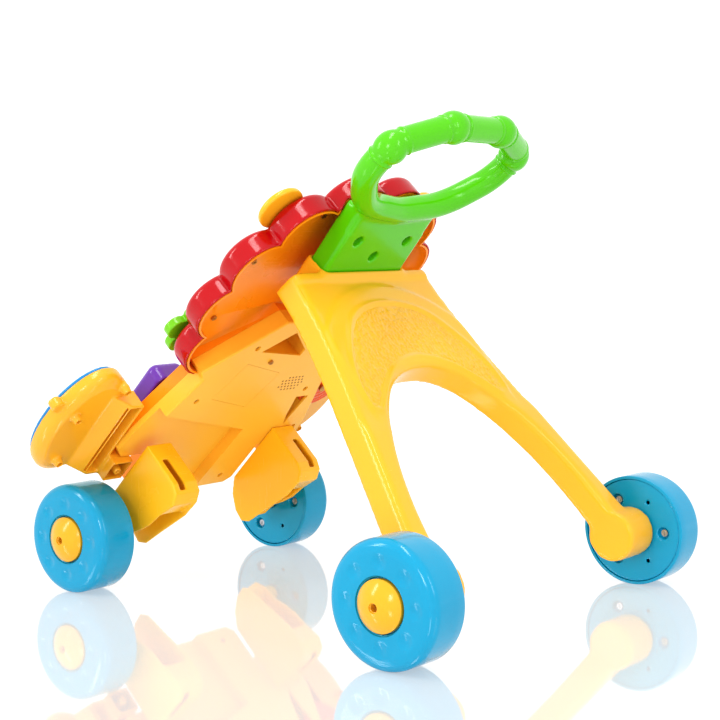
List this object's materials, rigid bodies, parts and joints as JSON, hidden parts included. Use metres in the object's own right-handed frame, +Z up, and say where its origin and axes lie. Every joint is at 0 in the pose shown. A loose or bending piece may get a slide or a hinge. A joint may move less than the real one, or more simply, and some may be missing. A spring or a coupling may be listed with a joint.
{
  "type": "baby walker",
  "caption": "Push-along baby walker: scalloped flower-shaped play body with press keys, hooped push handle, arched rear legs and free-spinning hollow wheels.",
  "frame": {"origin": "on the floor, midway between the front and rear axles, on the centre line", "axes": "+Z up; the child stands on the +Y side and pushes towards -Y; +X is the child's left"},
  "size_m": [0.4758, 0.5508, 0.4658],
  "materials": {
    "yellow_plastic": "moulded, semi-gloss",
    "deep_yellow_plastic": "moulded, fine matte texture",
    "green_plastic": "glossy moulded",
    "red_plastic": "high gloss moulded",
    "blue_plastic": "glossy moulded",
    "pad_blue_plastic": "soft satin",
    "purple_plastic": "glossy moulded",
    "orange_plastic": "satin moulded",
    "lime_plastic": "glossy moulded",
    "white_plastic": "glossy moulded",
    "dark_plastic": "glossy moulded",
    "membrane_rubber": "matte",
    "board_laminate": "lacquered",
    "cell_wrap": "printed wrap, plain",
    "screw_steel": "zinc plated",
    "spring_steel": "nickel plated",
    "speaker_grey": "matte"
  },
  "bodies": {
    "chassis": {"axle_pin_front_left": "screw_steel", "axle_pin_front_right": "screw_steel", "axle_pin_rear_left": "screw_steel", "axle_pin_rear_right": "screw_steel", "rear_frame": "yellow_plastic", "handle_upper_half": "green_plastic", "handle_lower_half": "green_plastic", "handle_screws": "screw_steel", "back_cover": "deep_yellow_plastic", "front_shell": "deep_yellow_plastic", "battery_door": "deep_yellow_plastic", "batteries": "cell_wrap", "battery_contacts": "spring_steel", "circuit_board": "board_laminate", "key_membrane": "membrane_rubber", "speaker": "speaker_grey", "body_screws": "screw_steel", "door_screw": "screw_steel", "mane": "red_plastic", "face": "yellow_plastic", "nose_switch": "white_plastic", "eyes": "dark_plastic", "mane_screws": "screw_steel", "flower_pin": "white_plastic", "side_disc_pin": "screw_steel", "ear_left": "yellow_plastic", "leg_box_left": "deep_yellow_plastic", "paw_left": "yellow_plastic", "paw_pad_left": "pad_blue_plastic", "paw_screws_left": "screw_steel", "ear_right": "yellow_plastic", "leg_box_right": "deep_yellow_plastic", "paw_right": "yellow_plastic", "paw_pad_right": "pad_blue_plastic", "paw_screws_right": "screw_steel"},
    "wheel_front_left": {"wheel_shell_front_left": "blue_plastic", "wheel_disc_front_left": "blue_plastic", "wheel_screws_front_left": "screw_steel", "hub_cap_front_left": "yellow_plastic"},
    "wheel_front_right": {"wheel_shell_front_right": "blue_plastic", "wheel_disc_front_right": "blue_plastic", "wheel_screws_front_right": "screw_steel", "hub_cap_front_right": "yellow_plastic"},
    "wheel_rear_left": {"wheel_shell_rear_left": "blue_plastic", "wheel_disc_rear_left": "blue_plastic", "wheel_screws_rear_left": "screw_steel", "hub_cap_rear_left": "yellow_plastic"},
    "wheel_rear_right": {"wheel_shell_rear_right": "blue_plastic", "wheel_disc_rear_right": "blue_plastic", "wheel_screws_rear_right": "screw_steel", "hub_cap_rear_right": "yellow_plastic"},
    "flower": {"flower_spinner": "lime_plastic"},
    "rattle_disc": {"side_disc": "orange_plastic"},
    "nose": {"nose_button": "orange_plastic"},
    "bar": {"bar_key": "purple_plastic"},
    "key_one": {"key_1": "red_plastic"},
    "key_two": {"key_2": "green_plastic"},
    "key_three": {"key_3": "blue_plastic"}
  },
  "joints": [
    {"name": "spin_front_left", "type": "hinge", "parent": "chassis", "child": "wheel_front_left", "pos_m": [0.1538, -0.2204, 0.055], "axis": [1, 0, 0], "continuous": true},
    {"name": "spin_front_right", "type": "hinge", "parent": "chassis", "child": "wheel_front_right", "pos_m": [-0.1538, -0.2204, 0.055], "axis": [1, 0, 0], "continuous": true},
    {"name": "spin_rear_left", "type": "hinge", "parent": "chassis", "child": "wheel_rear_left", "pos_m": [0.2081, 0.2204, 0.055], "axis": [1, 0, 0], "continuous": true},
    {"name": "spin_rear_right", "type": "hinge", "parent": "chassis", "child": "wheel_rear_right", "pos_m": [-0.2081, 0.2204, 0.055], "axis": [1, 0, 0], "continuous": true},
    {"name": "flower_spin", "type": "hinge", "parent": "chassis", "child": "flower", "pos_m": [0.103, -0.1108, 0.26941], "axis": [0, -0.7071, 0.7071], "continuous": true},
    {"name": "disc_spin", "type": "hinge", "parent": "chassis", "child": "rattle_disc", "pos_m": [-0.12, -0.13024, 0.19269], "axis": [0, -0.7071, 0.7071], "continuous": true},
    {"name": "nose_press", "type": "slide", "parent": "chassis", "child": "nose", "axis": [0, 0.7071, -0.7071], "range_m": [0, 0.003], "stiffness_N_per_m": 700, "springref_m": -0.001},
    {"name": "bar_press", "type": "slide", "parent": "chassis", "child": "bar", "axis": [0, 0.7071, -0.7071], "range_m": [0, 0.004], "stiffness_N_per_m": 500, "springref_m": -0.001},
    {"name": "key_one_press", "type": "slide", "parent": "chassis", "child": "key_one", "axis": [0, 0.7071, -0.7071], "range_m": [0, 0.003], "stiffness_N_per_m": 600, "springref_m": -0.001},
    {"name": "key_two_press", "type": "slide", "parent": "chassis", "child": "key_two", "axis": [0, 0.7071, -0.7071], "range_m": [0, 0.003], "stiffness_N_per_m": 600, "springref_m": -0.001},
    {"name": "key_three_press", "type": "slide", "parent": "chassis", "child": "key_three", "axis": [0, 0.7071, -0.7071], "range_m": [0, 0.003], "stiffness_N_per_m": 600, "springref_m": -0.001}
  ]
}
